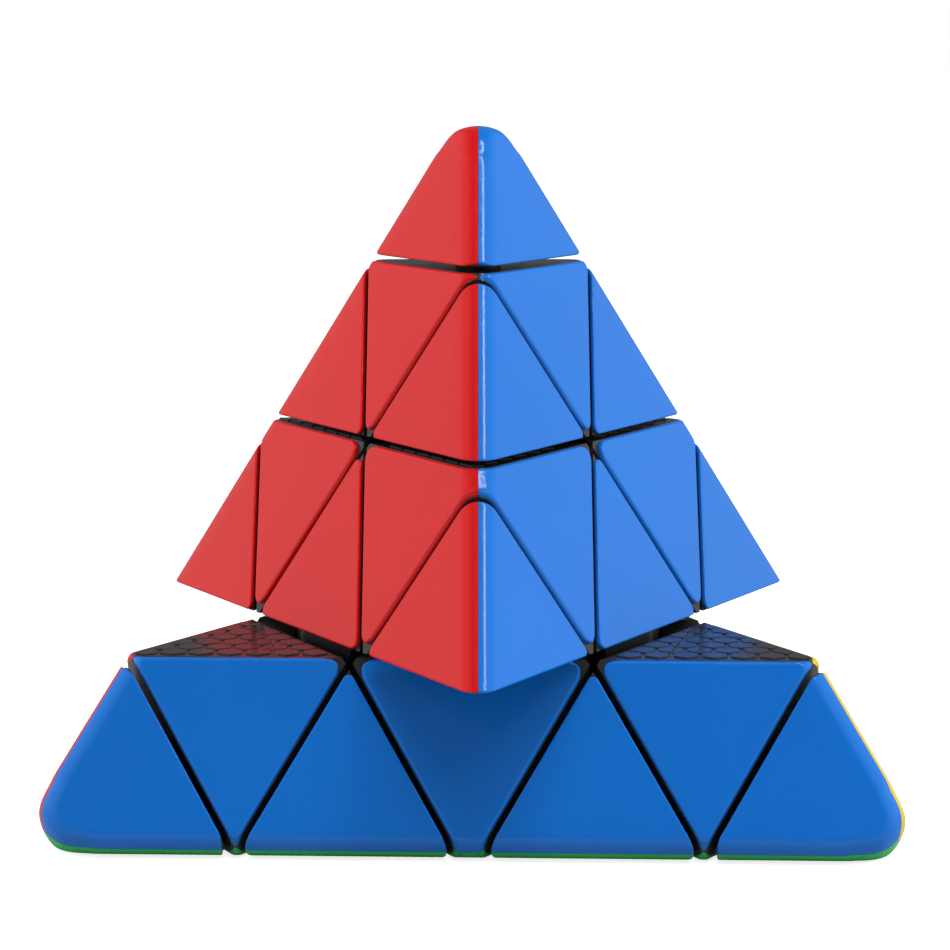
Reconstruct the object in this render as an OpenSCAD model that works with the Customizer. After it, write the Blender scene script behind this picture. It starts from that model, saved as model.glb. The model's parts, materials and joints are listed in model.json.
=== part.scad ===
// Four-layer pyramid twisty puzzle with its upper three layers turned on the bottom layer.
// Millimetres. The green face rests on z = 0, the front blue face looks along -Y, and the
// vertical turning axis passes through the origin and the top corner.

/* [Pyramid] */
// Edge of the pyramid, measured between its sharp corners before rounding
edge_length = 110; // [80:1:150]
// Radius that rounds every edge of the pyramid
edge_round = 2.6; // [2:0.1:5]
// How far inside the meeting point of three edge roundings the ball is centred that rounds a corner
corner_depth = 5.7; // [3:0.1:7]
// Turn of the upper three layers on the bottom layer, in degrees
upper_turn = 62; // [0:1:359]

/* [Cuts] */
// Second cut, in layer heights above the face it is parallel to
second_cut = 2.02; // [2:0.01:2.05]
// Third cut, in layer heights above the face it is parallel to
third_cut = 2.94; // [2.9:0.01:3]
// Slit between two neighbouring black bodies
slit = 0.7; // [0.3:0.05:0.8]

/* [Coloured caps] */
// Thickness of a cap
cap_thickness = 0.5; // [0.4:0.1:1.8]
// Distance from the edge of a cap to the edge of its black body
cap_setback = 0.05; // [0:0.01:0.3]
// How far a cap's corner stops short of the point where six caps meet
corner_cut = 1.4; // [0.6:0.1:2]
// Joint line between two caps on a rounded edge
cap_seam = 0.04; // [0.02:0.01:0.2]
// Side of the square peg that holds a cap
peg_side = 2.4; // [1.5:0.1:3]
// Length of the peg below the cap
peg_length = 2; // [1:0.1:2.5]
// Play around the peg in its socket
peg_play = 0.05; // [0.02:0.01:0.15]

/* [Turning mechanism] */
// Diameter of the ball core
core_diameter = 24; // [20:0.5:26]
// Thickness of the inner ring of tabs
tab_thickness = 2.7; // [2:0.1:3]
// How far the inner tabs reach past the middle cuts
tab_reach = 2; // [1:0.1:2.5]
// Thickness of the feet under the outer layers
foot_thickness = 2.3; // [1.8:0.1:2.6]
// How far the feet reach past the middle cuts
foot_reach = 3; // [2:0.1:3.5]
// Black plastic between the feet and the second cut
foot_cover = 0.5; // [0.4:0.1:1]
// How far the ring of feet hangs down past the underside of the feet
foot_skirt = 3.7; // [3:0.1:4.5]
// Radius of the neck that carries an outer layer on its feet
neck_radius = 11.4; // [9:0.1:12]
// Gap between two rings of the mechanism
ring_gap = 0.2; // [0.1:0.05:0.3]
// Radial play of a turning fit
running_play = 0.08; // [0.03:0.01:0.1]

/* [Screws and springs] */
// Diameter of a screw's shank
screw_diameter = 2; // [1.6:0.1:2.6]
// Diameter of a screw's head
head_diameter = 4; // [3:0.1:4.8]
// Height of a screw's head
head_height = 1.5; // [1:0.1:2]
// Width of the cross cut into a screw's head
cross_width = 0.5; // [0.3:0.05:0.8]
// Depth of the cross cut into a screw's head
cross_depth = 0.8; // [0.4:0.1:1]
// Length of thread inside the core
thread_length = 8; // [5:0.5:9]
// Diameter of a washer
washer_diameter = 5; // [4:0.1:5.2]
// Thickness of a washer
washer_thickness = 0.5; // [0.3:0.1:1]
// Radial play of a washer on its screw
washer_play = 0.05; // [0.02:0.01:0.2]
// Outside diameter of a spring
spring_diameter = 4.4; // [3.6:0.1:5]
// Wire thickness of a spring
spring_wire = 0.5; // [0.3:0.05:0.6]
// Fitted length of a spring
spring_length = 6.5; // [5:0.1:8]
// Turns of a spring
spring_turns = 6; // [5:1:7]
// Radius of the well in an axial piece that takes the spring and the tip's stem
well_radius = 2.8; // [2.7:0.1:3.2]
// Thickness of the floor under the well
well_floor = 3.5; // [2.5:0.1:4]
// Height of the snap bead round a tip's stem
bead_height = 0.25; // [0.1:0.05:0.4]
// How far the snap bead lies below the third cut
bead_depth = 4; // [3:0.1:6]
// Gap between the end of a tip's stem and the screw's head
stem_gap = 1; // [0.5:0.1:2]
// Wall of the hollow end of a tip's stem
stem_wall = 1; // [0.6:0.1:1.4]
// Width of the slot that lets the end of the stem spring
stem_slot = 0.8; // [0.4:0.1:1.2]

/* [Hidden] */
$fn = 96;

// ---- Pyramid geometry, measured from the middle of the core ----
layer = edge_length * sqrt(2 / 3) / 4;          // height of one layer
skin = layer - cap_thickness;                   // core to the outside of a black body
span = 4 * layer;                               // larger than anything in the puzzle
half_slit = slit / 2;
ball_margin = 0.1;                              // keeps a corner's ball from only grazing the edge roundings
cap_inset = half_slit + cap_setback;
tilt = acos(-1 / 3);                            // angle between two corner directions
lean = sin(tilt);
corner_heading = [0, 0, 120, 240];              // headings of a piece's own four corners

// ---- Rings of the mechanism, from the core outwards ----
TAB = 0;
MIDDLE = 1;
FOOT = 2;
OUTER = 3;
core_radius = core_diameter / 2;
second_height = (second_cut - 1) * layer;
third_height = (third_cut - 1) * layer;
foot_outside = second_height - foot_cover;
foot_inside = foot_outside - foot_thickness;
foot_floor = foot_inside - foot_skirt;          // lowest edge of a layer's ring of feet
ring_inside = [
    core_radius + ring_gap,
    core_radius + 2 * ring_gap + tab_thickness,
    foot_inside,
    foot_outside + ring_gap
];
ring_outside = [
    core_radius + ring_gap + tab_thickness,
    foot_inside - ring_gap,
    foot_outside,
    span
];
joint_inset = 0.03;                             // a joining web is this much slimmer than its rings
web_depth = 1;                                  // how far a joining web enters each ring
neck_lift = 0.4;                                // inside of the feet to the start of a neck
spring_seat = 0.05;                             // floor of the well to the spring
washer_seat = 0.02;                             // end of the spring to the washer

// ---- Heights along a corner's own axis ----
shank_end = core_radius - thread_length;
well_bottom = foot_inside + well_floor;
spring_bottom = well_bottom + spring_seat;
washer_bottom = spring_bottom + spring_length + washer_seat;
head_bottom = washer_bottom + washer_thickness;
head_top = head_bottom + head_height;
stem_bottom = head_top + stem_gap;
bead_middle = third_height - bead_depth;
shank_radius = screw_diameter / 2;
shank_hole = shank_radius + running_play;
stem_radius = well_radius - running_play;

// ---- Kinds of piece: which layer the piece lies in, counted along each of its four corners ----
TIP = [3, 0, 0, 0];
AXIAL = [2, 0, 0, 0];
WING = [2, 1, 0, 0];
MID = [1, 1, 0, 0];
INNER = [1, 0, 0, 0];
FACE = [0, 1, 1, 1];

// ---- Corners of the whole puzzle ----
TOP = 0;
LEFT = 1;
RIGHT = 2;
BACK = 3;
puzzle_heading = [0, 210, 330, 90];
BASE_CORNERS = [LEFT, RIGHT, BACK];

function total(v) = v * [1, 1, 1, 1];
function corner(i) = i == TOP ? [0, 0, 1]
    : [lean * cos(puzzle_heading[i]), lean * sin(puzzle_heading[i]), -1 / 3];
function own_corner(i) = i == 0 ? [0, 0, 1]
    : [lean * cos(corner_heading[i]), lean * sin(corner_heading[i]), -1 / 3];

// Height of cut number n inside one ring of the mechanism.
function cut_height(n, ring) =
    n == 1 ? [-tab_reach, 0, -foot_reach, 0][ring]
    : n == 2 ? [span, span, foot_floor, second_height][ring]
    : n == 3 ? third_height
    : 3 * layer;
function low(s, ring) = s == 0 ? -skin : cut_height(s, ring) + half_slit;
function high(s, ring) = cut_height(s + 1, ring) - half_slit;

// Limits of a piece along its four corners: in one ring, and in the web that joins two rings.
function ring_limits(kind, ring) = [for (s = kind) [low(s, ring), high(s, ring)]];
function web_limits(kind, ring) = [for (s = kind) [
    max(low(s, ring), low(s, ring + 1)) + joint_inset,
    min(high(s, ring), high(s, ring + 1)) - joint_inset
]];

// Limits of a cap: an upright triangle loses its corners at the far side, a hanging one at the near side.
function upright(kind) = total(kind) == 3;
function cap_low(s, kind) = s == 0 ? -layer
    : upright(kind) ? cut_height(s, OUTER) + cap_inset
    : max(cut_height(s, OUTER) + cap_inset, (s - 1) * layer + corner_cut);
function cap_high(s, kind) = s == 3 ? span
    : upright(kind) ? min(cut_height(s + 1, OUTER) - cap_inset, s * layer - corner_cut)
    : cut_height(s + 1, OUTER) - cap_inset;
function cap_limits(kind, face) = [for (i = [0:3])
    i == face ? [-layer, -layer + edge_round + corner_depth]
    : [cap_low(kind[i], kind), cap_high(kind[i], kind)]
];

// Middle of a piece's triangle on one of its outside faces.
function cap_middle(kind, face) =
    let (share = (4 - total(kind)) / 3,
         reach = [for (i = [0:3]) i == face ? 0 : (kind[i] + share) * 0.75 * layer])
    reach[0] * own_corner(0) + reach[1] * own_corner(1)
        + reach[2] * own_corner(2) + reach[3] * own_corner(3);

// ---- Placing ----
// Stands the Z axis on one of a piece's own corner directions.
module along(i) {
    rotate([0, i == 0 ? 0 : tilt, corner_heading[i]]) children();
}

// Carries a piece from its own frame to the puzzle: its corner 0 goes to the corner `main`
// and its corner 1 to the corner `second`.
module place(main, second) {
    z = corner(main);
    x = (corner(second) + z / 3) / lean;
    y = cross(z, x);
    multmatrix([
        [x[0], y[0], z[0], 0],
        [x[1], y[1], z[1], 0],
        [x[2], y[2], z[2], 0],
        [0, 0, 0, 1]
    ]) children();
}

// Own face number (2 or 3) that lies on the puzzle's face opposite the corner `face`.
function side_number(main, second, face) =
    corner(main) * cross(corner(second), corner(face)) > 0 ? 2 : 3;

module bottom_layer() {
    translate([0, 0, layer]) children();
}

module upper_layers() {
    translate([0, 0, layer]) rotate([0, 0, upper_turn]) children();
}

// ---- Building blocks ----
module slab(i, limits) {
    along(i) translate([-span, -span, limits[0]])
        cube([2 * span, 2 * span, limits[1] - limits[0]]);
}

module cell(limits) {
    intersection() {
        slab(0, limits[0]);
        slab(1, limits[1]);
        slab(2, limits[2]);
        slab(3, limits[3]);
    }
}

// Removes the sharp edge between a piece's corner 0 and its corner i. Both the outside of the
// caps and the outside of the black bodies are rounded about the same line.
module edge_cutter(i, radius) {
    middle = 3 * layer * cos(tilt / 2) - sqrt(3) * edge_round;
    rotate([0, 0, corner_heading[i]]) rotate([0, tilt / 2, 0]) translate([0, 0, middle])
        difference() {
            translate([-span, -radius, radius / sqrt(3)]) cube([2 * span, 2 * radius, span]);
            rotate([0, 90, 0]) cylinder(r = radius + 0.01, h = 3 * span, center = true);
        }
}

// Removes the point at a piece's corner 0 outside a ball that runs into the three edge roundings.
module corner_cutter(radius) {
    ball = radius + corner_depth / sqrt(3) + ball_margin;
    start = radius / 3 - 2 / 3 * corner_depth + ball_margin;
    translate([0, 0, 3 * (layer - edge_round)])
        difference() {
            translate([0, 0, start]) cylinder(r = 2 * ball, h = span);
            translate([0, 0, -corner_depth]) rotate([90, 0, 0]) sphere(r = ball);
        }
}

module rounding(kind, radius) {
    for (i = [1:3])
        if (kind[0] + kind[i] == total(kind)) edge_cutter(i, radius);
    if (kind == TIP) corner_cutter(radius);
}

module peg(kind, face, side, length) {
    translate(cap_middle(kind, face)) along(face)
        translate([-side / 2, -side / 2, cap_thickness / 2])
            cube([side, side, length + cap_thickness / 2]);
}

module sockets(kind) {
    for (face = [0:3])
        if (kind[face] == 0)
            peg(kind, face, peg_side + 2 * peg_play, peg_length + 2 * peg_play);
}

// ---- Black bodies ----
module ring_part(kind, ring) {
    difference() {
        intersection() {
            cell(ring_limits(kind, ring));
            sphere(r = ring_outside[ring]);
        }
        sphere(r = ring_inside[ring]);
    }
}

// Web that joins a piece's part in one ring to its part in the next ring out.
module web(kind, ring) {
    difference() {
        intersection() {
            cell(web_limits(kind, ring));
            sphere(r = ring_inside[ring + 1] + web_depth);
        }
        sphere(r = ring_outside[ring] - web_depth);
    }
}

// Neck that carries an outer layer's piece on its foot.
module neck(kind) {
    limits = web_limits(kind, FOOT);
    difference() {
        intersection() {
            cell([
                [foot_floor + half_slit + joint_inset, second_height + web_depth],
                limits[1], limits[2], limits[3]
            ]);
            cylinder(r = neck_radius - half_slit, h = span);
        }
        sphere(r = foot_inside + neck_lift);
    }
}

// Room for the neighbouring layers' necks to pass, about corners 0 and 1 of a middle edge piece.
module neck_room() {
    for (i = [0, 1])
        along(i) translate([0, 0, foot_floor])
            cylinder(r = neck_radius + half_slit, h = second_height - foot_floor);
}

module outer_part(kind) {
    difference() {
        cell(ring_limits(kind, OUTER));
        sphere(r = ring_inside[OUTER]);
        rounding(kind, edge_round - cap_thickness);
    }
}

module bead(radius, play) {
    translate([0, 0, bead_middle - 2 * bead_height - play])
        cylinder(r1 = radius, r2 = radius + bead_height + play, h = 2 * bead_height + play);
    translate([0, 0, bead_middle])
        cylinder(r1 = radius + bead_height + play, r2 = radius, h = 2 * bead_height + play);
}

module stem() {
    difference() {
        union() {
            translate([0, 0, stem_bottom])
                cylinder(r = stem_radius, h = third_height + 2 - stem_bottom);
            bead(stem_radius, 0);
        }
        translate([0, 0, stem_bottom - 1])
            cylinder(r = stem_radius - stem_wall, h = third_height - stem_bottom);
        translate([-stem_slot / 2, -span, stem_bottom - 1])
            cube([stem_slot, 2 * span, bead_middle - stem_bottom + 2]);
    }
}

module tip() {
    difference() {
        union() {
            outer_part(TIP);
            stem();
        }
        sockets(TIP);
    }
}

module axial() {
    difference() {
        union() {
            outer_part(AXIAL);
            ring_part(AXIAL, FOOT);
            neck(AXIAL);
        }
        cylinder(r = shank_hole, h = span);
        translate([0, 0, well_bottom]) cylinder(r = well_radius, h = span);
        bead(well_radius, running_play);
        sockets(AXIAL);
    }
}

module wing() {
    difference() {
        union() {
            outer_part(WING);
            ring_part(WING, FOOT);
            neck(WING);
        }
        sockets(WING);
    }
}

module mid() {
    difference() {
        union() {
            difference() {
                outer_part(MID);
                neck_room();
            }
            for (ring = [TAB, MIDDLE, FOOT]) {
                ring_part(MID, ring);
                web(MID, ring);
            }
        }
        sockets(MID);
    }
}

module face_centre() {
    difference() {
        union() {
            outer_part(FACE);
            for (ring = [TAB, MIDDLE, FOOT]) {
                ring_part(FACE, ring);
                web(FACE, ring);
            }
        }
        sockets(FACE);
    }
}

module inner() {
    difference() {
        union() {
            ring_part(INNER, TAB);
            web(INNER, TAB);
            ring_part(INNER, MIDDLE);
        }
        cylinder(r = shank_hole, h = span);
    }
}

// ---- Core, screws, springs and washers ----
module on_all_axes() {
    place(TOP, LEFT) children();
    place(LEFT, TOP) children();
    place(RIGHT, TOP) children();
    place(BACK, TOP) children();
}

module core() {
    difference() {
        sphere(r = core_radius);
        on_all_axes() translate([0, 0, shank_end - 0.5]) cylinder(r = shank_radius, h = span);
    }
}

module screw() {
    difference() {
        union() {
            translate([0, 0, shank_end]) cylinder(r = shank_radius, h = head_bottom - shank_end + 0.2);
            translate([0, 0, head_bottom]) cylinder(d = head_diameter, h = head_height);
        }
        for (turn = [0, 90])
            rotate([0, 0, turn]) translate([-0.3 * head_diameter, -cross_width / 2, head_top - cross_depth])
                cube([0.6 * head_diameter, cross_width, cross_depth + 1]);
    }
}

module washer() {
    translate([0, 0, washer_bottom])
        difference() {
            cylinder(d = washer_diameter, h = washer_thickness);
            translate([0, 0, -1]) cylinder(r = shank_radius + washer_play, h = washer_thickness + 2);
        }
}

// Height of the wire's middle after a number of turns: the first and last turns lie closed.
function wire_height(turn) =
    let (closed = 1.06 * spring_wire,
         open = (spring_length - spring_wire - 2 * closed) / (spring_turns - 2))
    turn <= 1 ? turn * closed
    : turn >= spring_turns - 1
        ? closed + (spring_turns - 2) * open + (turn - spring_turns + 1) * closed
    : closed + (turn - 1) * open;

module spring() {
    steps = 18 * spring_turns;
    sides = 8;
    coil = (spring_diameter - spring_wire) / 2;
    points = [for (i = [0:steps], k = [0:sides - 1])
        let (turn = i * spring_turns / steps,
             out = coil + spring_wire / 2 * cos(360 * k / sides),
             up = spring_wire / 2 * (1 + sin(360 * k / sides)))
        [out * cos(360 * turn), out * sin(360 * turn), wire_height(turn) + up]
    ];
    sleeve = [for (i = [0:steps - 1], k = [0:sides - 1])
        let (next = (k + 1) % sides)
        [i * sides + k, i * sides + next, (i + 1) * sides + next, (i + 1) * sides + k]
    ];
    first = [for (k = [sides - 1:-1:0]) k];
    last = [for (k = [0:sides - 1]) steps * sides + k];
    translate([0, 0, spring_bottom])
        polyhedron(points = points, faces = concat(sleeve, [first], [last]), convexity = 12);
}

// ---- Coloured caps ----
// Half of space that lies nearer a piece's outside face m than its outside face n.
module nearer(m, n) {
    turn = atan2(
        sin(corner_heading[n]) - sin(corner_heading[m]),
        cos(corner_heading[n]) - cos(corner_heading[m])
    );
    rotate([0, 0, turn]) translate([cap_seam / 2, -span, -span]) cube(2 * span);
}

// Everything inside the black body's outer surface, as far as a cap's underside needs it.
module under_cap(kind) {
    difference() {
        intersection_for(i = [for (k = [0:3]) if (kind[k] == 0) k])
            slab(i, [-skin, span]);
        rounding(kind, edge_round - cap_thickness);
    }
}

module cap(kind, face) {
    union() {
        difference() {
            intersection() {
                cell(cap_limits(kind, face));
                for_neighbours(kind, face);
            }
            rounding(kind, edge_round);
            under_cap(kind);
        }
        peg(kind, face, peg_side, peg_length);
    }
}

// Space that belongs to one face, next to the other faces that the same piece shows.
module for_neighbours(kind, face) {
    others = [for (k = [1:3]) if (k != face && kind[k] == 0) k];
    if (kind == FACE) cube(2 * span, center = true);
    else intersection_for(n = others) nearer(face, n);
}

// Caps of one puzzle face, each named by the corners that its piece lies between.
module axial_cap(main, face) {
    place(main, face) cap(AXIAL, 1);
}

module tip_cap(main, face) {
    place(main, face) cap(TIP, 1);
}

module wing_cap(main, second, face) {
    place(main, second) cap(WING, side_number(main, second, face));
}

module mid_cap(one, two, face) {
    main = min(one, two);
    second = max(one, two);
    place(main, second) cap(MID, side_number(main, second, face));
}

module face_cap(face) {
    place(face, face == TOP ? LEFT : TOP) cap(FACE, 0);
}

module base_side_caps(one, two, face) {
    axial_cap(one, face);
    wing_cap(one, two, face);
    mid_cap(one, two, face);
    wing_cap(two, one, face);
    axial_cap(two, face);
}

module base_bottom_caps() {
    for (i = [0:2]) {
        one = BASE_CORNERS[i];
        two = BASE_CORNERS[(i + 1) % 3];
        axial_cap(one, TOP);
        wing_cap(one, two, TOP);
        mid_cap(one, two, TOP);
        wing_cap(two, one, TOP);
    }
    face_cap(TOP);
}

module upper_caps(one, two, face) {
    wing_cap(one, TOP, face);
    mid_cap(one, TOP, face);
    face_cap(face);
    mid_cap(two, TOP, face);
    wing_cap(two, TOP, face);
}

module crown_caps(one, two, face) {
    wing_cap(TOP, one, face);
    axial_cap(TOP, face);
    wing_cap(TOP, two, face);
}

// ---- Colours ----
module black() {
    color([0.07, 0.07, 0.08]) children();
}

module steel() {
    color([0.72, 0.73, 0.75]) children();
}

module blue() {
    color([0.10, 0.38, 0.80]) children();
}

module red() {
    color([0.82, 0.10, 0.12]) children();
}

module yellow() {
    color([0.98, 0.80, 0.08]) children();
}

module green() {
    color([0.10, 0.60, 0.28]) children();
}

bottom_layer() black() core();
bottom_layer() steel() on_all_axes() screw();  // screws
bottom_layer() steel() on_all_axes() spring();  // springs
bottom_layer() steel() on_all_axes() washer();  // washers

upper_layers() black() place(TOP, LEFT) tip();  // tip_top
bottom_layer() black() place(LEFT, TOP) tip();  // tip_left
bottom_layer() black() place(RIGHT, TOP) tip();  // tip_right
bottom_layer() black() place(BACK, TOP) tip();  // tip_back

upper_layers() black() place(TOP, LEFT) axial();  // axial_top
bottom_layer() black() place(LEFT, TOP) axial();  // axial_left
bottom_layer() black() place(RIGHT, TOP) axial();  // axial_right
bottom_layer() black() place(BACK, TOP) axial();  // axial_back

upper_layers() black() place(TOP, LEFT) inner();  // inner_top
bottom_layer() black() place(LEFT, TOP) inner();  // inner_left
bottom_layer() black() place(RIGHT, TOP) inner();  // inner_right
bottom_layer() black() place(BACK, TOP) inner();  // inner_back

upper_layers() black() place(TOP, LEFT) wing();  // wing_top_left
upper_layers() black() place(TOP, RIGHT) wing();  // wing_top_right
upper_layers() black() place(TOP, BACK) wing();  // wing_top_back
upper_layers() black() place(LEFT, TOP) wing();  // wing_left_top
upper_layers() black() place(RIGHT, TOP) wing();  // wing_right_top
upper_layers() black() place(BACK, TOP) wing();  // wing_back_top
bottom_layer() black() place(LEFT, RIGHT) wing();  // wing_left_right
bottom_layer() black() place(RIGHT, LEFT) wing();  // wing_right_left
bottom_layer() black() place(LEFT, BACK) wing();  // wing_left_back
bottom_layer() black() place(BACK, LEFT) wing();  // wing_back_left
bottom_layer() black() place(RIGHT, BACK) wing();  // wing_right_back
bottom_layer() black() place(BACK, RIGHT) wing();  // wing_back_right

upper_layers() black() place(TOP, LEFT) mid();  // mid_top_left
upper_layers() black() place(TOP, RIGHT) mid();  // mid_top_right
upper_layers() black() place(TOP, BACK) mid();  // mid_top_back
bottom_layer() black() place(LEFT, RIGHT) mid();  // mid_left_right
bottom_layer() black() place(LEFT, BACK) mid();  // mid_left_back
bottom_layer() black() place(RIGHT, BACK) mid();  // mid_right_back

upper_layers() black() place(BACK, TOP) face_centre();  // face_front
upper_layers() black() place(RIGHT, TOP) face_centre();  // face_back_left
upper_layers() black() place(LEFT, TOP) face_centre();  // face_back_right
bottom_layer() black() place(TOP, LEFT) face_centre();  // face_bottom

bottom_layer() blue() base_side_caps(LEFT, RIGHT, BACK);  // caps_base_blue
bottom_layer() red() base_side_caps(LEFT, BACK, RIGHT);  // caps_base_red
bottom_layer() yellow() base_side_caps(RIGHT, BACK, LEFT);  // caps_base_yellow
bottom_layer() green() base_bottom_caps();  // caps_base_green

upper_layers() blue() upper_caps(LEFT, RIGHT, BACK);  // caps_upper_blue
upper_layers() red() upper_caps(LEFT, BACK, RIGHT);  // caps_upper_red
upper_layers() yellow() upper_caps(RIGHT, BACK, LEFT);  // caps_upper_yellow

upper_layers() blue() crown_caps(LEFT, RIGHT, BACK);  // caps_crown_blue
upper_layers() red() crown_caps(LEFT, BACK, RIGHT);  // caps_crown_red
upper_layers() yellow() crown_caps(RIGHT, BACK, LEFT);  // caps_crown_yellow

upper_layers() blue() tip_cap(TOP, BACK);  // caps_tip_top_blue
upper_layers() red() tip_cap(TOP, RIGHT);  // caps_tip_top_red
upper_layers() yellow() tip_cap(TOP, LEFT);  // caps_tip_top_yellow

bottom_layer() blue() tip_cap(LEFT, BACK);  // caps_tip_left_blue
bottom_layer() red() tip_cap(LEFT, RIGHT);  // caps_tip_left_red
bottom_layer() green() tip_cap(LEFT, TOP);  // caps_tip_left_green

bottom_layer() blue() tip_cap(RIGHT, BACK);  // caps_tip_right_blue
bottom_layer() yellow() tip_cap(RIGHT, LEFT);  // caps_tip_right_yellow
bottom_layer() green() tip_cap(RIGHT, TOP);  // caps_tip_right_green

bottom_layer() red() tip_cap(BACK, RIGHT);  // caps_tip_back_red
bottom_layer() yellow() tip_cap(BACK, LEFT);  // caps_tip_back_yellow
bottom_layer() green() tip_cap(BACK, TOP);  // caps_tip_back_green
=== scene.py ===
"""Looks of a four-layer pyramid puzzle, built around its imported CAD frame.

The black bodies, the core and the fasteners stay as the CAD nodes. Every coloured cap is built
here again as a closed mesh with rounded corners and a fillet round its rim, and the flat cut
faces of the black bodies get their raised honeycomb. All lengths are in metres.
"""

import json
import math

import bmesh
import bpy
import numpy as np
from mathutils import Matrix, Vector
from mathutils.geometry import delaunay_2d_cdt


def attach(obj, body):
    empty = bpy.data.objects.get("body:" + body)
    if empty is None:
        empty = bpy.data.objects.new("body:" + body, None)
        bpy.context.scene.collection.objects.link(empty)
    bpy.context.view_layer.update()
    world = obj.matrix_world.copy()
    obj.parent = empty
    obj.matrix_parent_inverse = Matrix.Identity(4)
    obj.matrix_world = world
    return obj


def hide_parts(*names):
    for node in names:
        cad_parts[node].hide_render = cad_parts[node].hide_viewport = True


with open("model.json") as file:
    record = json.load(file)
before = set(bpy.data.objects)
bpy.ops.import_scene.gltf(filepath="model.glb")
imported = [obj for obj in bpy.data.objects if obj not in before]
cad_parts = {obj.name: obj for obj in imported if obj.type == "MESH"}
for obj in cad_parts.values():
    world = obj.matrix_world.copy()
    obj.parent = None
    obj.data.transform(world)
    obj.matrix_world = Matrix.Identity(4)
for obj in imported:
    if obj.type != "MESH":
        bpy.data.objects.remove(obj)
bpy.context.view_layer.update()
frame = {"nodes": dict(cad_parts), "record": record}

# ---------------------------------------------------------------- sizes, as in part.scad
MM = 0.001
EDGE = 110 * MM
LAYER = EDGE * math.sqrt(2 / 3) / 4
ROUND = 2.6 * MM
CORNER_DEPTH = 5.7 * MM
CAP = 0.5 * MM
HALF_SLIT = 0.35 * MM
CAP_INSET = 0.4 * MM
CORNER_CUT = 1.4 * MM
SECOND_CUT = 1.02 * LAYER
THIRD_CUT = 1.94 * LAYER
UPPER_TURN = 62.0

# ---------------------------------------------------------------- sizes of the detail
SEAM = 0.02 * MM
CORNER_ROUND = 1.1 * MM
FILLET = 0.3 * MM
FILLET_STEPS = 4
FILLET_START = 1.35             # where the rim's own ring of points starts, in fillets
RIM_STEP = 1.5 * MM             # longest step along a straight rim
RIM_BEND = math.radians(9)      # largest bend of the rim at one point
RIM_SAMPLES = 1800              # rays tried before the rim's points are chosen
FARTHEST = 24 * MM              # further than any cap reaches from its middle
REACH_HALVINGS = 34
MEETING_HALVINGS = 26
FLAT_GRID = 2.6 * MM            # filling points on a cap's flat part
BENT_GRID = 0.5 * MM            # filling points on its rounded part
RIM_MARGIN = 0.25 * MM          # filling points stay this far inside the rim
SHARP = math.radians(36)
BALL_BLEND = 0.9 * MM           # width of the soft start of a corner's ball
BALL_FADE = 0.7 * MM
HEX_PITCH = 3.3 * MM
HEX_GROOVE = 0.4 * MM
HEX_HEIGHT = 0.16 * MM
HEX_BORDER = 0.8 * MM           # plain border inside a cut face's sides
HEX_SMALLEST = 0.5              # least share of a whole cell that is kept
HEX_COUNT = 16                  # rows and columns to each side of the middle
HEX_ROW = -7                    # number of the row of cells that lies at HEX_ROW_Y
HEX_ROW_Y = -20.93 * MM
HEX_PROFILE = ((1.0, 0.0), (1.0, 0.45), (0.93, 1.0))    # share of the outline and of the height
PARTING_GROOVE = 0.14 * MM      # half the width of the fine line across a face
PARTING_START = (-26.3 * MM, -4.5 * MM)
PARTING_END = (-22.2 * MM, -23.8 * MM)
RING_CLEAR = SECOND_CUT + 0.7 * MM      # no cell reaches into this ball about the core
NECK_CLEAR = 12.2 * MM                  # nor, at the crown's cut, into this round of the necks

# ---------------------------------------------------------------- corners, pieces and colours
TOP, LEFT, RIGHT, BACK = range(4)
HEADINGS = {TOP: 0, LEFT: 210, RIGHT: 330, BACK: 90}
NAMES = {TOP: "top", LEFT: "left", RIGHT: "right", BACK: "back"}
COLOURS = {BACK: "blue", RIGHT: "red", LEFT: "yellow", TOP: "green"}    # of the face opposite
TURNED_BODIES = ("upper", "crown", "top_tip")
TIP, AXIAL, WING, MID, FACE = (
    (3, 0, 0, 0), (2, 0, 0, 0), (2, 1, 0, 0), (1, 1, 0, 0), (0, 1, 1, 1),
)
LABELS = {TIP: "tip", AXIAL: "axial", WING: "wing", MID: "mid", FACE: "face"}
LEAN = math.sqrt(8) / 3


def corner_direction(index, heading):
    """Unit vector from the core to a corner of a pyramid standing on its face."""
    if index == 0:
        return np.array([0.0, 0.0, 1.0])
    turn = math.radians(heading)
    return np.array([LEAN * math.cos(turn), LEAN * math.sin(turn), -1 / 3])


CORNERS = [corner_direction(i, HEADINGS[i]) for i in range(4)]
OWN = [corner_direction(i, (i - 1) * 120) for i in range(4)]


def placing(main, second):
    """Rotation that takes a piece's own frame to its place in the puzzle."""
    z = CORNERS[main]
    x = (CORNERS[second] + z / 3) / LEAN
    return np.column_stack([x, np.cross(z, x), z])


def layer_frame(body):
    """Rotation and shift from the lined-up puzzle, core at the origin, to the part's frame."""
    turn = math.radians(UPPER_TURN if body in TURNED_BODIES else 0)
    spin = np.array([
        [math.cos(turn), -math.sin(turn), 0],
        [math.sin(turn), math.cos(turn), 0],
        [0, 0, 1],
    ])
    return spin, np.array([0, 0, LAYER])


def to_part(points, main, second, body):
    """Points of a piece's own frame, carried to the part's frame."""
    spin, shift = layer_frame(body)
    return points @ (spin @ placing(main, second)).T + shift


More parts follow.
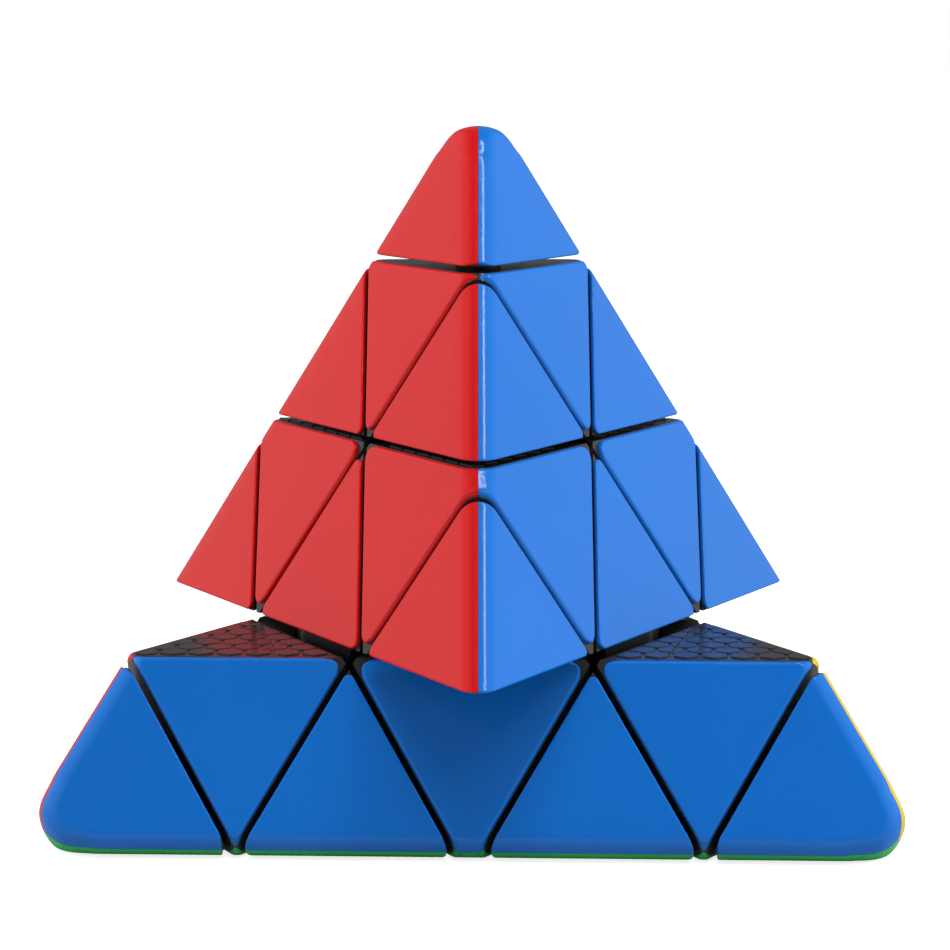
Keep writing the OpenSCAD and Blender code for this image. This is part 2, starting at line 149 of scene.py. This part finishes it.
# ---------------------------------------------------------------- coloured caps
class CapShape:
    """One cap in its piece's own frame, described in the unrolled plane of its face.

    A point of the plane stands for the nearest point of the flat inner triangle, carried out
    along a normal that leans over by the arc beyond the triangle's side. That wraps the plane
    round the pyramid's rounded edges and corners.
    """

    def __init__(self, kind, face):
        self.kind = kind
        self.face = face
        self.normal = -OWN[face]
        self.others = [j for j in range(4) if j != face]
        self.upright = sum(kind) == 3
        first = OWN[self.others[0]] + OWN[face] / 3
        self.u = first / np.linalg.norm(first)
        self.v = np.cross(self.normal, self.u)
        self.base = self.normal * (LAYER - ROUND)
        reach = 3 * (LAYER - ROUND)
        self.triangle = [self.flat(OWN[j] * reach) for j in self.others]
        self.ball = OWN[0] * (reach - CORNER_DEPTH) if kind == TIP else None
        self.turns = None

    def flat(self, point):
        offset = point - self.base
        return np.array([offset @ self.u, offset @ self.v])

    def nearest(self, q):
        """Nearest points of the inner triangle to the plane points q."""
        inside = np.ones(len(q), bool)
        best = q.copy()
        gap = np.full(len(q), np.inf)
        middle = sum(self.triangle) / 3
        for i in range(3):
            a, b = self.triangle[i], self.triangle[(i + 1) % 3]
            along = (b - a) / np.linalg.norm(b - a)
            outward = np.array([along[1], -along[0]])
            if outward @ (middle - a) > 0:
                outward = -outward
            side = (q - a) @ outward
            inside &= side <= 0
            t = np.clip((q - a) @ along, 0, np.linalg.norm(b - a))
            foot = a + t[:, None] * along
            far = np.linalg.norm(q - foot, axis=1)
            take = far < gap
            best[take], gap[take] = foot[take], far[take]
        best[inside] = q[inside]
        gap[inside] = 0
        return best, gap

    def bent(self, q):
        """Whether the outside is curved at the plane points q."""
        bent = self.nearest(q)[1] > 0
        if self.ball is not None:
            flat = self.base + q[:, :1] * self.u + q[:, 1:] * self.v + ROUND * self.normal
            bent |= flat[:, 2] > self.ball[2]
        return bent

    def surface(self, q, depth):
        """Points of the cap's surface at a depth below its outside."""
        foot, gap = self.nearest(q)
        lean = gap / ROUND
        away = np.where(gap[:, None] > 0, (q - foot) / np.maximum(gap, 1e-12)[:, None], 0)
        away3 = away[:, :1] * self.u + away[:, 1:] * self.v
        normal = np.cos(lean)[:, None] * self.normal + np.sin(lean)[:, None] * away3
        core = self.base + foot[:, :1] * self.u + foot[:, 1:] * self.v
        points = core + (ROUND - depth) * normal
        return points if self.ball is None else self.carved(points, depth)

    def carved(self, points, depth):
        """Draws the pyramid's corner in to its ball, with a soft start on the flat faces."""
        radius = ROUND + CORNER_DEPTH / math.sqrt(3) - depth
        away = points - self.ball
        far = np.linalg.norm(away, axis=1)
        short = np.clip(radius + BALL_BLEND - far, 0, None)
        drawn = radius - short ** 2 / (4 * BALL_BLEND)
        drawn = np.where(far < radius - BALL_BLEND, far, drawn)
        start = self.ball[2] + CORNER_DEPTH / 3 + (ROUND - depth) / 3
        share = np.clip((points[:, 2] - start + BALL_FADE) / (2 * BALL_FADE), 0, 1)
        share = share * share * (3 - 2 * share)
        scale = 1 + share * (drawn / far - 1)
        return self.ball + away * scale[:, None]

    def cut_distances(self, points):
        """Distance inside each of the cap's straight sides."""
        rows = []
        heights = {0: 0.0, 1: SECOND_CUT, 2: THIRD_CUT}
        for j in self.others:
            level = self.kind[j]
            if self.upright and level > 0:
                rows.append(points @ OWN[j] - heights[level - 1] - CAP_INSET)
            elif not self.upright:
                rows.append(heights[level] - CAP_INSET - points @ OWN[j])
            if self.upright and level < 3:
                rows.append(level * LAYER - CORNER_CUT - points @ OWN[j])
            elif not self.upright and level > 0:
                rows.append(points @ OWN[j] - (level - 1) * LAYER - CORNER_CUT)
        return np.array(rows) / LEAN

    def edge_distance(self, points):
        """Distance inside the planes halfway round the pyramid's edges."""
        rows = [
            (points @ (OWN[j] - OWN[self.face])) / np.linalg.norm(OWN[j] - OWN[self.face])
            for j in self.others if self.kind[j] == 0
        ]
        return np.min(rows, axis=0) if rows else np.full(len(points), np.inf)

    def limits(self, q, inset, depth):
        """Distances inside the cut sides, drawn in by inset, and inside the pyramid's edges."""
        points = self.surface(q, depth)
        cuts = rounded_minimum(self.cut_distances(points), CORNER_ROUND) - inset
        return cuts, self.edge_distance(points) - SEAM

    def middle(self):
        share = (4 - sum(self.kind)) / 3
        point = sum((self.kind[j] + share) * 0.75 * LAYER * OWN[j] for j in self.others)
        return self.flat(point)

    def reach(self, turns, inset, depth):
        """Plane points where rays from the cap's middle leave its outline."""
        rays = np.column_stack([np.cos(turns), np.sin(turns)])
        low = np.zeros(len(turns))
        high = np.full(len(turns), FARTHEST)
        for _ in range(REACH_HALVINGS):
            half = (low + high) / 2
            cuts, edge = self.limits(self.middle() + half[:, None] * rays, inset, depth)
            inside = np.minimum(cuts, edge) > 0
            low = np.where(inside, half, low)
            high = np.where(inside, high, half)
        return self.middle() + low[:, None] * rays

    def meets_edge(self, turns, inset, depth):
        """Whether each ray leaves the cap at a pyramid edge, and not at a cut."""
        cuts, edge = self.limits(self.reach(turns, inset, depth), inset, depth)
        return edge < cuts

    def chosen_turns(self):
        """Headings of the rays: close together where the rim bends, further apart elsewhere."""
        turns = 2 * math.pi * np.arange(RIM_SAMPLES) / RIM_SAMPLES
        rim = self.surface(self.reach(turns, 0, 0), 0)
        steps = np.roll(rim, -1, axis=0) - rim
        lengths = np.linalg.norm(steps, axis=1)
        ways = steps / lengths[:, None]
        bends = np.arccos(np.clip((ways * np.roll(ways, 1, axis=0)).sum(axis=1), -1, 1))
        weight = np.cumsum(lengths / RIM_STEP + np.minimum(bends, RIM_BEND) / RIM_BEND)
        count = int(weight[-1])
        return np.interp((np.arange(count) + 0.5) * weight[-1] / count, weight, turns)

    def outline(self, inset, depth):
        """Closed outline in the plane, with a point exactly where a cut meets a pyramid edge."""
        if self.turns is None:
            self.turns = self.chosen_turns()
        turns = self.turns.copy()
        on_edge = self.meets_edge(turns, inset, depth)
        for i in np.flatnonzero(on_edge != np.roll(on_edge, -1)):
            low = turns[i]
            high = turns[(i + 1) % len(turns)]
            if high < low:
                high += 2 * math.pi
            first, last = low, high
            for _ in range(MEETING_HALVINGS):
                half = (low + high) / 2
                if self.meets_edge(np.array([half]), inset, depth)[0] == on_edge[i]:
                    low = half
                else:
                    high = half
            nearer_first = low - first < last - low
            turns[i if nearer_first else (i + 1) % len(turns)] = low
        return self.reach(turns, inset, depth)


def rounded_minimum(distances, radius):
    """Smallest of several distances, with the meeting of two sides rounded off."""
    short = np.maximum(radius - distances, 0)
    return np.where(
        (short > 0).sum(axis=0) > 1,
        radius - np.sqrt((short ** 2).sum(axis=0)),
        distances.min(axis=0),
    )


def filling(shape, rim, inset, depth):
    """Triangles that fill an outline: its own points and a grid, finer on the rounded edges."""
    low, high = rim.min(axis=0), rim.max(axis=0)

    def grid(step):
        xs = np.arange(low[0] + step / 2, high[0], step)
        ys = np.arange(low[1] + step / 2, high[1], step)
        return np.array([(x, y) for x in xs for y in ys])

    coarse, fine = grid(FLAT_GRID), grid(BENT_GRID)
    spots = np.vstack([coarse[~shape.bent(coarse)], fine[shape.bent(fine)]])
    spots = spots[np.min(shape.limits(spots, inset, depth), axis=0) > RIM_MARGIN]
    count = len(rim)
    loop = [(i, (i + 1) % count) for i in range(count)]
    places = [Vector(p / MM) for p in np.vstack([rim, spots])]
    found = delaunay_2d_cdt(places, loop, [], 1, 1e-7)
    return np.array([(p.x, p.y) for p in found[0]]) * MM, found[2]


def cap_mesh(shape):
    """Closed mesh of one cap: top, fillet, side wall and underside."""
    steps = [(FILLET * FILLET_START, 0.0)]
    for k in range(FILLET_STEPS + 1):
        lean = math.pi / 2 * k / FILLET_STEPS
        steps.append((FILLET * (1 - math.sin(lean)), FILLET * (1 - math.cos(lean))))
    steps.append((0.0, CAP))
    rims = [shape.outline(inset, depth) for inset, depth in steps]
    count = len(rims[0])
    points, faces = [], []
    for rim, (_, depth) in zip(rims, steps):
        points.append(shape.surface(rim, depth))
    for ring in range(len(rims) - 1):
        for i in range(count):
            j = (i + 1) % count
            a, b = ring * count, (ring + 1) * count
            faces.append((a + i, b + i, b + j, a + j))
    total = len(rims) * count
    for ring, flip in ((0, False), (len(rims) - 1, True)):
        inset, depth = steps[ring]
        places, triangles = filling(shape, rims[ring], inset, depth)
        extra = places[count:]
        points.append(shape.surface(extra, depth))
        for tri in triangles:
            loop = [ring * count + i if i < count else total + i - count for i in tri]
            faces.append(tuple(reversed(loop)) if flip else tuple(loop))
        total += len(extra)
    return np.vstack(points), faces


cap_cache = {}


def cap_parts(kind, face):
    """Points and faces of one kind of cap, made once and used for every copy."""
    if (kind, face) not in cap_cache:
        cap_cache[kind, face] = cap_mesh(CapShape(kind, face))
    return cap_cache[kind, face]


def side_number(main, second, face):
    """A wing's or middle piece's own number of the side that lies on a puzzle face."""
    return 2 if CORNERS[main] @ np.cross(CORNERS[second], CORNERS[face]) > 0 else 3


def new_object(name, points, faces, body, smooth=True):
    """A closed mesh object that rides on a body."""
    mesh = bpy.data.meshes.new(name)
    mesh.from_pydata([tuple(p) for p in points], [], faces)
    mesh.update()
    edit = bmesh.new()
    edit.from_mesh(mesh)
    bmesh.ops.remove_doubles(edit, verts=edit.verts, dist=1e-6)
    bmesh.ops.recalc_face_normals(edit, faces=edit.faces)
    edit.to_mesh(mesh)
    edit.free()
    for polygon in mesh.polygons:
        polygon.use_smooth = smooth
    if smooth:
        mesh.set_sharp_from_angle(angle=SHARP)
    made = bpy.data.objects.new(name, mesh)
    bpy.context.scene.collection.objects.link(made)
    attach(made, body)
    return made


def piece_cap(kind, main, second, face, body, node):
    """One cap: its piece lies at the corner main, or between the corners main and second."""
    colour = COLOURS[face]
    if kind in (TIP, AXIAL):
        spots = [NAMES[main]]
        second, own_face = face, 1
    elif kind == FACE:
        spots = []
        own_face = 0
    else:
        spots = [NAMES[main], NAMES[second]]
        own_face = side_number(main, second, face)
    points, faces = cap_parts(kind, own_face)
    name = "_".join(["cap", colour, LABELS[kind]] + spots)
    made = new_object(name, to_part(points, main, second, body), faces, body)
    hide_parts(node)
    made.data.materials.append(plastics[colour])


def side_caps(one, two, face):
    """Caps of one upright face: bottom layer, upper layer, crown and top tip."""
    colour = COLOURS[face]
    base, upper, crown = (part + colour for part in ("caps_base_", "caps_upper_", "caps_crown_"))
    for a, b in ((one, two), (two, one)):
        tip = NAMES[a]
        piece_cap(AXIAL, a, face, face, "base", base)
        piece_cap(WING, a, b, face, "base", base)
        piece_cap(WING, a, TOP, face, "upper", upper)
        piece_cap(MID, a, TOP, face, "upper", upper)
        piece_cap(WING, TOP, a, face, "crown", crown)
        piece_cap(TIP, a, face, face, tip + "_tip", "caps_tip_" + tip + "_" + colour)
    piece_cap(MID, one, two, face, "base", base)
    piece_cap(FACE, face, TOP, face, "upper", upper)
    piece_cap(AXIAL, TOP, face, face, "crown", crown)
    piece_cap(TIP, TOP, face, face, "top_tip", "caps_tip_top_" + colour)


def bottom_caps():
    """Caps of the face that the puzzle rests on."""
    node = "caps_base_green"
    for one, two in ((LEFT, RIGHT), (RIGHT, BACK), (BACK, LEFT)):
        tip = NAMES[one]
        piece_cap(AXIAL, one, TOP, TOP, "base", node)
        piece_cap(WING, one, two, TOP, "base", node)
        piece_cap(WING, two, one, TOP, "base", node)
        piece_cap(MID, one, two, TOP, "base", node)
        piece_cap(TIP, one, TOP, TOP, tip + "_tip", "caps_tip_" + tip + "_green")
    piece_cap(FACE, TOP, LEFT, TOP, "base", node)


# ---------------------------------------------------------------- honeycomb on the cut faces
def clipped(polygon, normal, offset):
    """Part of a convex polygon where normal . p >= offset."""
    kept = []
    for i, p in enumerate(polygon):
        q = polygon[(i + 1) % len(polygon)]
        dp, dq = p @ normal - offset, q @ normal - offset
        if dp >= 0:
            kept.append(p)
        if dp * dq < 0:
            kept.append(p + (q - p) * dp / (dp - dq))
    return kept


def area(polygon):
    """Area of a convex polygon."""
    return abs(sum(
        p[0] * q[1] - p[1] * q[0] for p, q in zip(polygon, polygon[1:] + polygon[:1])
    )) / 2


def honeycomb(name, body, height, up, sides, splits=(), clear=0.0):
    """Raised hexagons on the horizontal cut face at this height over the core.

    sides are (normal, offset) of the lines that bound the face; splits are lines that part it;
    nothing stands within the radius clear of the turning axis.
    """
    radius = (HEX_PITCH - HEX_GROOVE) / math.sqrt(3)
    hexagon = [
        radius * np.array([math.sin(math.radians(60 * k)), math.cos(math.radians(60 * k))])
        for k in range(6)
    ]
    rise = HEX_PITCH * math.sqrt(3) / 2
    points, faces = [], []
    for row in range(-HEX_COUNT, HEX_COUNT + 1):
        for column in range(-HEX_COUNT, HEX_COUNT + 1):
            across = (column + 0.5 * (row % 2)) * HEX_PITCH
            centre = np.array([across, HEX_ROW_Y + (row - HEX_ROW) * rise])
            cell = [centre + p for p in hexagon]
            whole = area(cell)
            inner = min(np.linalg.norm(p) for p in cell)
            if inner < clear or inner ** 2 + height ** 2 < RING_CLEAR ** 2:
                continue
            for normal, offset in sides:
                cell = clipped(cell, normal, offset + HEX_BORDER)
            if len(cell) < 3 or area(cell) < HEX_SMALLEST * whole:
                continue
            parts = [cell]
            for normal, offset in splits:
                parts = [
                    clipped(part, side * normal, side * offset + PARTING_GROOVE)
                    for part in parts for side in (1, -1)
                ]
            for part in parts:
                if len(part) >= 3:
                    add_pad(points, faces, part, height, up)
    if not points:
        return
    spin, shift = layer_frame(body)
    made = new_object(name, np.array(points) @ spin.T + shift, faces, body, smooth=False)
    made.data.materials.append(body_plastic)


def add_pad(points, faces, outline, height, up):
    """One raised cell with a sloping edge, closed underneath."""
    middle = sum(outline) / len(outline)
    start, count = len(points), len(outline)
    for shrink, lift in HEX_PROFILE:
        for p in outline:
            q = middle + (p - middle) * shrink
            points.append((q[0], q[1], height + up * HEX_HEIGHT * lift))
    for level in range(2):
        for i in range(count):
            j = (i + 1) % count
            a, b = start + level * count, start + (level + 1) * count
            faces.append((a + i, a + j, b + j, b + i))
    faces.append(tuple(start + i for i in reversed(range(count))))
    faces.append(tuple(start + 2 * count + i for i in range(count)))


def face_sides(one, own, others, height):
    """Lines that bound a horizontal cut face at this height over the core.

    own is the piece's lowest and highest place along the corner one, and others along the two
    other lower corners.
    """
    levels = [(one, own)] + [(c, others) for c in (LEFT, RIGHT, BACK) if c != one]
    sides = []
    for corner, (low, high) in levels:
        flat = CORNERS[corner][:2]
        length = np.linalg.norm(flat)
        shift = -height / 3
        if low is not None:
            sides.append((flat / length, (low - shift) / length))
        if high is not None:
            sides.append((-flat / length, (shift - high) / length))
    return sides


def parting_lines(corner):
    """The fine parting line across a bottom axial piece's top face, as the puzzle shows it."""
    if corner == BACK:
        return ()
    mirror = np.array([1 if corner == LEFT else -1, 1])
    start, end = mirror * PARTING_START, mirror * PARTING_END
    along = (end - start) / np.linalg.norm(end - start)
    normal = np.array([along[1], -along[0]])
    return ((normal, normal @ start),)


def honeycombs():
    """Honeycomb on the cut faces that show when a layer is turned."""
    skin = -(LAYER - CAP)
    first, second, third = 0.0, SECOND_CUT, THIRD_CUT
    below, above = first - HALF_SLIT, first + HALF_SLIT
    low, high = second - HALF_SLIT, second + HALF_SLIT
    for one in (LEFT, RIGHT, BACK):
        name = NAMES[one]
        honeycomb("honeycomb_axial_" + name, "base", below, 1,
                  face_sides(one, (second, third), (skin, first), below),
                  splits=parting_lines(one))
        honeycomb("honeycomb_wing_" + name, "upper", above, -1,
                  face_sides(one, (second, None), (skin, None), above))
        honeycomb("honeycomb_mid_" + name, "base", below, 1,
                  face_sides(one, (skin, first), (first, second), below))
        honeycomb("honeycomb_face_" + name, "upper", above, -1,
                  face_sides(one, (skin, None), (first, None), above))
        honeycomb("honeycomb_upper_mid_" + name, "upper", above, -1,
                  face_sides(one, (first, second), (skin, first), above))
        honeycomb("honeycomb_mid_top_" + name, "upper", low, 1,
                  face_sides(one, (first, None), (skin, None), low), clear=NECK_CLEAR)
        honeycomb("honeycomb_crown_" + name, "crown", high, -1,
                  face_sides(one, (first, None), (skin, None), high), clear=NECK_CLEAR)


# ---------------------------------------------------------------- materials
def node_material(name):
    made = bpy.data.materials.new(name)
    made.use_nodes = True
    tree = made.node_tree
    return made, tree, tree.nodes["Principled BSDF"]


def noise(tree, scale, detail, roughness=0.5):
    """Noise over the object's own coordinates, in metres."""
    place = tree.nodes.new("ShaderNodeTexCoord")
    made = tree.nodes.new("ShaderNodeTexNoise")
    made.inputs["Scale"].default_value = scale
    made.inputs["Detail"].default_value = detail
    made.inputs["Roughness"].default_value = roughness
    tree.links.new(place.outputs["Object"], made.inputs["Vector"])
    return made.outputs["Fac"]


def ramp(tree, factor, first, second):
    """Colour between two (position, colour) stops."""
    made = tree.nodes.new("ShaderNodeValToRGB")
    for element, (position, colour) in zip(made.color_ramp.elements, (first, second)):
        element.position = position
        element.color = (*colour, 1)
    tree.links.new(factor, made.inputs["Fac"])
    return made.outputs["Color"]


def spread(tree, factor, source, target):
    """Carries a value from the range source to the range target."""
    made = tree.nodes.new("ShaderNodeMapRange")
    made.inputs["From Min"].default_value, made.inputs["From Max"].default_value = source
    made.inputs["To Min"].default_value, made.inputs["To Max"].default_value = target
    tree.links.new(factor, made.inputs["Value"])
    return made.outputs["Result"]


def relief(tree, height, strength, distance):
    """Normal of a surface that this height roughens."""
    made = tree.nodes.new("ShaderNodeBump")
    made.inputs["Strength"].default_value = strength
    made.inputs["Distance"].default_value = distance
    tree.links.new(height, made.inputs["Height"])
    return made.outputs["Normal"]


def plastic(name, colour, variation, roughness, bump):
    """Moulded plastic: slight drift of colour, uneven polish, faint ripple and fine scuffs."""
    made, tree, shader = node_material(name)
    drift = noise(tree, 28, 3)
    scuffs = noise(tree, 420, 6, 0.65)
    ripple = noise(tree, 160, 2)
    dark = [c * (1 - variation) for c in colour]
    light = [min(1.0, c * (1 + variation)) for c in colour]
    polish = (roughness * 0.85, roughness * 1.25)
    links = tree.links
    links.new(ramp(tree, drift, (0.3, dark), (0.7, light)), shader.inputs["Base Color"])
    links.new(spread(tree, scuffs, (0.3, 0.75), polish), shader.inputs["Roughness"])
    links.new(relief(tree, ripple, bump, 0.4 * MM), shader.inputs["Normal"])
    shader.inputs["IOR"].default_value = 1.5
    return made


def steel(name, colour, roughness, streaks):
    """Plated steel: bright metal with fine turned streaks and uneven polish."""
    made, tree, shader = node_material(name)
    grain = noise(tree, streaks, 5)
    dark = [c * 0.82 for c in colour]
    polish = (roughness * 0.7, roughness * 1.3)
    links = tree.links
    links.new(ramp(tree, grain, (0, dark), (1, colour)), shader.inputs["Base Color"])
    links.new(spread(tree, grain, (0, 1), polish), shader.inputs["Roughness"])
    links.new(relief(tree, grain, 0.08, 0.2 * MM), shader.inputs["Normal"])
    shader.inputs["Metallic"].default_value = 1.0
    return made


CAP_COLOURS = {
    "blue": (0.003, 0.19, 0.74),
    "red": (0.74, 0.004, 0.005),
    "yellow": (0.86, 0.60, 0.012),
    "green": (0.03, 0.60, 0.12),
}
plastics = {
    name: plastic(name + "_plastic", colour, variation=0.04, roughness=0.16, bump=0.006)
    for name, colour in CAP_COLOURS.items()
}
body_plastic = plastic("black_plastic", (0.028, 0.028, 0.031), 0.12, 0.2, 0.02)
core_plastic = plastic("core_plastic", (0.06, 0.06, 0.064), 0.1, 0.5, 0.1)
screw_steel = steel("screw_steel", (0.66, 0.67, 0.69), 0.28, 900)
spring_steel = steel("spring_steel", (0.52, 0.53, 0.56), 0.34, 1400)

SLOT_MATERIALS = {
    "black_plastic": body_plastic,
    "core_plastic": core_plastic,
    "screw_steel": screw_steel,
    "spring_steel": spring_steel,
}


def dress_nodes():
    """Gives every CAD node that stays visible its procedural material."""
    slots = {entry["node"]: entry["material_slot"] for entry in frame["record"]["subparts"]}
    for name, node in frame["nodes"].items():
        if slots[name] in SLOT_MATERIALS:
            node.data.materials.clear()
            node.data.materials.append(SLOT_MATERIALS[slots[name]])


# ---------------------------------------------------------------- stage, light and camera
WHITE = (1, 1, 1, 1)
FLOOR_SIZE = 6.0
FLOOR_TOP = -0.2 * MM                   # clear of the caps that rest on it
FLOOR_COLOUR = (0.9, 0.9, 0.9, 1)
FLOOR_GLOW = 0.8                        # light of its own that the floor shows the camera
FLOOR_BOUNCE = (0.5, 0.5, 0.5, 1)       # what it throws back onto the puzzle
DIM = (0.16, 0.16, 0.165)               # surround in front and behind
PALE = (0.58, 0.58, 0.58)               # surround at both sides
LIGHT_TARGET = (0, 0, 0.04)
CAMERA_TURN = math.radians(2.042)
CAMERA_DIP = math.radians(8.48)
CAMERA_PLACE = (-0.0137, -12.9514, 3.3841)      # in quarters of the pyramid's edge, not turned
CAMERA_LENS = 112.06


def by_camera_ray(tree, others, seen):
    """Shader that is one thing to the camera and another to every other ray."""
    path = tree.nodes.new("ShaderNodeLightPath")
    mix = tree.nodes.new("ShaderNodeMixShader")
    tree.links.new(path.outputs["Is Camera Ray"], mix.inputs[0])
    tree.links.new(others.outputs[0], mix.inputs[1])
    tree.links.new(seen.outputs[0], mix.inputs[2])
    return mix.outputs[0]


def pale_floor():
    """A white floor that looks white from the camera and throws back less light than it shows."""
    mesh = bpy.data.meshes.new("floor")
    corners = [(x * FLOOR_SIZE, y * FLOOR_SIZE, FLOOR_TOP)
               for x, y in ((-1, -1), (1, -1), (1, 1), (-1, 1))]
    mesh.from_pydata(corners, [], [(0, 1, 2, 3)])
    floor = bpy.data.objects.new("floor", mesh)
    bpy.context.scene.collection.objects.link(floor)
    made, tree, shader = node_material("floor")
    shader.inputs["Base Color"].default_value = FLOOR_COLOUR
    shader.inputs["Roughness"].default_value = 0.8
    shader.inputs["Emission Color"].default_value = WHITE
    shader.inputs["Emission Strength"].default_value = FLOOR_GLOW
    bounce = tree.nodes.new("ShaderNodeBsdfDiffuse")
    bounce.inputs["Color"].default_value = FLOOR_BOUNCE
    output = tree.nodes["Material Output"]
    tree.links.new(by_camera_ray(tree, bounce, shader), output.inputs["Surface"])
    mesh.materials.append(made)


def soft_box(name, place, size, power, mirrored=False):
    """A soft box that faces the puzzle; only a mirrored one shows in the gloss."""
    light = bpy.data.lights.new(name, "AREA")
    light.shape = "RECTANGLE"
    light.size, light.size_y = size
    light.energy = power
    made = bpy.data.objects.new(name, light)
    bpy.context.scene.collection.objects.link(made)
    made.location = place
    aim = Vector(LIGHT_TARGET) - Vector(place)
    made.rotation_euler = aim.to_track_quat("-Z", "Y").to_euler()
    made.visible_glossy = mirrored


def studio():
    """A surround with pale sides and a dim front and back, and four soft boxes."""
    world = bpy.data.worlds.new("studio")
    bpy.context.scene.world = world
    world.use_nodes = True
    tree = world.node_tree
    nodes, links = tree.nodes, tree.links
    nodes.clear()
    place = nodes.new("ShaderNodeTexCoord")
    split = nodes.new("ShaderNodeSeparateXYZ")
    links.new(place.outputs["Generated"], split.inputs[0])
    sideways = nodes.new("ShaderNodeMath")
    sideways.operation = "ABSOLUTE"
    links.new(split.outputs["X"], sideways.inputs[0])
    surround = nodes.new("ShaderNodeBackground")
    shade = ramp(tree, sideways.outputs[0], (0.35, DIM), (0.75, PALE))
    links.new(shade, surround.inputs["Color"])
    backdrop = nodes.new("ShaderNodeBackground")
    backdrop.inputs["Color"].default_value = WHITE
    output = nodes.new("ShaderNodeOutputWorld")
    links.new(by_camera_ray(tree, surround, backdrop), output.inputs["Surface"])

    soft_box("strip", (0.32, -0.26, 0.74), (0.06, 0.55), 1.5, mirrored=True)
    soft_box("top", (0, -0.35, 0.75), (0.4, 0.3), 2.2)
    soft_box("box_left", (-0.78, 0.08, 0.20), (0.4, 0.25), 3.0)
    soft_box("box_right", (0.78, 0.08, 0.20), (0.4, 0.25), 3.0)


def camera():
    """Camera at the viewing angle and distance of the real object."""
    data = bpy.data.cameras.new("camera")
    data.sensor_width = 36.0
    data.lens = CAMERA_LENS
    data.clip_start, data.clip_end = 0.01, 20.0
    made = bpy.data.objects.new("camera", data)
    bpy.context.scene.collection.objects.link(made)
    x, y, z = (EDGE / 4 * c for c in CAMERA_PLACE)
    turn, dip = CAMERA_TURN, CAMERA_DIP
    made.location = (
        x * math.cos(turn) - y * math.sin(turn),
        x * math.sin(turn) + y * math.cos(turn),
        z,
    )
    look = Vector((
        -math.sin(turn) * math.cos(dip),
        math.cos(turn) * math.cos(dip),
        -math.sin(dip),
    ))
    made.rotation_euler = look.to_track_quat("-Z", "Y").to_euler()
    bpy.context.scene.camera = made


# ---------------------------------------------------------------- making
dress_nodes()
for pair in ((LEFT, RIGHT, BACK), (BACK, LEFT, RIGHT), (RIGHT, BACK, LEFT)):
    side_caps(*pair)
bottom_caps()
honeycombs()
pale_floor()
studio()
camera()
bpy.context.scene.view_settings.view_transform = "Standard"
